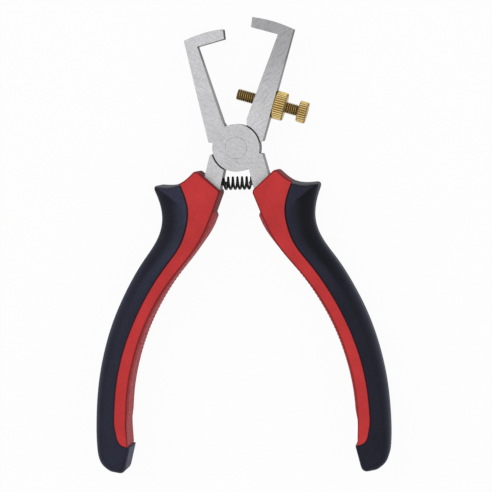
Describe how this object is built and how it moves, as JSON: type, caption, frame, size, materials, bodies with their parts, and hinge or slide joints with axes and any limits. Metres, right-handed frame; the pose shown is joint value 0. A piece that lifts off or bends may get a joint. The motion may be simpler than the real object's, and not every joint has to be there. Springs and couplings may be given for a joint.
{
  "type": "wire stripping pliers",
  "caption": "Spring-opened wire stripping pliers with bent notched blade tips, a brass stop screw with lock nut and two-colour grips.",
  "frame": {"origin": "on the pivot axis, at the flat back face of the joint", "axes": "+X across the tool, +Y from the handles to the jaws, +Z out of the front face; the tool lies flat on its grips"},
  "size_m": [0.1002, 0.1536, 0.0154],
  "materials": {
    "rear_lever_steel": "brushed",
    "front_lever_steel": "brushed",
    "rivet_steel": "brushed, ground flush",
    "spring_steel": "black oxide",
    "peg_steel": "dark",
    "screw_brass": "machined",
    "nut_brass": "knurled",
    "grip_red": "satin moulded",
    "grip_dark": "soft moulded, fine grain"
  },
  "bodies": {
    "rear_half": {"rear_lever": "rear_lever_steel", "left_grip_core": "grip_red", "left_grip_cover": "grip_dark", "pivot_rivet": "rivet_steel", "opening_spring": "spring_steel", "left_spring_peg": "peg_steel"},
    "front_half": {"front_lever": "front_lever_steel", "right_grip_core": "grip_red", "right_grip_cover": "grip_dark", "right_spring_peg": "peg_steel"},
    "stop_screw": {"adjusting_screw": "screw_brass"},
    "nut": {"lock_nut": "nut_brass"}
  },
  "joints": [
    {"name": "jaw_pivot", "type": "hinge", "parent": "rear_half", "child": "front_half", "pos_m": [0, 0, 0], "axis": [0, 0, -1], "range_deg": [0, 20], "stiffness_Nm_per_rad": 2, "springref_deg": -2.86, "deforming": ["opening_spring"]},
    {"name": "screw_travel", "type": "slide", "parent": "rear_half", "child": "stop_screw", "axis": [-0.9573, 0.289, 0], "range_m": [-0.0045, 0.0005]},
    {"name": "nut_turn", "type": "hinge", "parent": "rear_half", "child": "nut", "pos_m": [0.01282, 0.01441, 0.004], "axis": [0.9573, -0.289, 0], "continuous": true}
  ]
}
